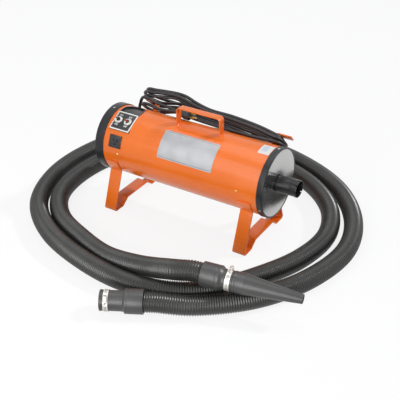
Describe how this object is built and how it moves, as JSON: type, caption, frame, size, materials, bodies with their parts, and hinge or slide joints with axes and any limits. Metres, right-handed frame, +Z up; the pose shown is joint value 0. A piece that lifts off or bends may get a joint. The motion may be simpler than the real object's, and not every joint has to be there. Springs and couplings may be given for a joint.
{
  "type": "pet dryer",
  "caption": "Cylindrical steel force dryer on strap legs, with carry handle, switch console, cord hooks, wound mains cord, corrugated hose and nozzle.",
  "frame": {"origin": "on the floor under the middle of the dryer's length, spout included and hose and cord left out", "axes": "+X along the barrel towards the outlet spout, +Y towards the cord hooks at the back, +Z up"},
  "size_m": [1.0503, 1.031, 0.352],
  "materials": {
    "orange_paint": "gloss powder coat",
    "black_paint": "satin",
    "black_plastic": "gloss",
    "white_enamel": "satin",
    "steel": "bright",
    "brass": "worn",
    "filter_foam": "matt open foam",
    "rubber": "matt",
    "hose_vinyl": "satin, corrugated",
    "name_foil": "brushed foil, bare",
    "label_paper": "matt",
    "red_plastic": "gloss",
    "gasket_felt": "matt felt",
    "motor_metal": "as cast"
  },
  "bodies": {
    "dryer": {"barrel_shell": "orange_paint", "carry_handle": "orange_paint", "leg_left": "orange_paint", "leg_right": "orange_paint", "cord_hook_left": "orange_paint", "cord_hook_right": "orange_paint", "intake_end_cap": "black_paint", "outlet_end_cap": "black_paint", "intake_grille": "black_paint", "console_box": "black_paint", "outlet_spout": "black_plastic", "switch_body_left": "black_plastic", "switch_body_right": "black_plastic", "outlet_socket": "black_plastic", "power_plug": "black_plastic", "coupling_cuff": "black_plastic", "nozzle_cuff": "black_plastic", "air_nozzle": "black_plastic", "switch_plate": "white_enamel", "switch_ring_left": "white_enamel", "switch_ring_right": "white_enamel", "filter_retainer": "steel", "coupling_clamp_band": "steel", "nozzle_clamp_band": "steel", "intake_cap_screw_1": "steel", "intake_cap_screw_2": "steel", "intake_cap_screw_3": "steel", "outlet_cap_screw_1": "steel", "outlet_cap_screw_2": "steel", "outlet_cap_screw_3": "steel", "intake_side_screw_1": "brass", "intake_side_screw_2": "brass", "outlet_side_screw_1": "brass", "outlet_side_screw_2": "brass", "air_filter": "filter_foam", "strain_relief": "rubber", "power_cord_lead": "rubber", "power_cord_hank": "rubber", "power_cord_tail": "rubber", "air_hose": "hose_vinyl", "name_plate": "name_foil", "blank_label": "label_paper", "motor_gasket_intake": "gasket_felt", "motor_gasket_outlet": "gasket_felt", "motor_plate_intake": "motor_metal", "motor_plate_outlet": "motor_metal", "fan_housing_intake": "motor_metal", "fan_housing_outlet": "motor_metal", "motor_frame_intake": "motor_metal", "motor_frame_outlet": "motor_metal"},
    "intake_rotor": {"motor_rotor_intake": "motor_metal"},
    "outlet_rotor": {"motor_rotor_outlet": "motor_metal"},
    "left_lever": {"switch_lever_left": "red_plastic"},
    "right_lever": {"switch_lever_right": "red_plastic"},
    "coupling_screw": {"coupling_clamp_screw": "steel"},
    "nozzle_screw": {"nozzle_clamp_screw": "steel"}
  },
  "joints": [
    {"name": "intake_rotor_spin", "type": "hinge", "parent": "dryer", "child": "intake_rotor", "pos_m": [-0.14, 0, 0.196], "axis": [1, 0, 0], "continuous": true},
    {"name": "outlet_rotor_spin", "type": "hinge", "parent": "dryer", "child": "outlet_rotor", "pos_m": [0.076, 0, 0.196], "axis": [1, 0, 0], "continuous": true},
    {"name": "left_lever_tilt", "type": "hinge", "parent": "dryer", "child": "left_lever", "pos_m": [-0.262, -0.05005, 0.2824], "axis": [1, 0, 0], "range_deg": [-26, 0]},
    {"name": "right_lever_tilt", "type": "hinge", "parent": "dryer", "child": "right_lever", "pos_m": [-0.229, -0.05005, 0.2824], "axis": [1, 0, 0], "range_deg": [-26, 0]},
    {"name": "coupling_screw_turn", "type": "hinge", "parent": "dryer", "child": "coupling_screw", "pos_m": [0.03837, -0.54129, 0.05534], "axis": [-0.3008, 0.5681, 0.766], "continuous": true},
    {"name": "nozzle_screw_turn", "type": "hinge", "parent": "dryer", "child": "nozzle_screw", "pos_m": [0.29047, -0.33347, 0.12088], "axis": [-0.2003, 0.9575, -0.2077], "continuous": true}
  ]
}
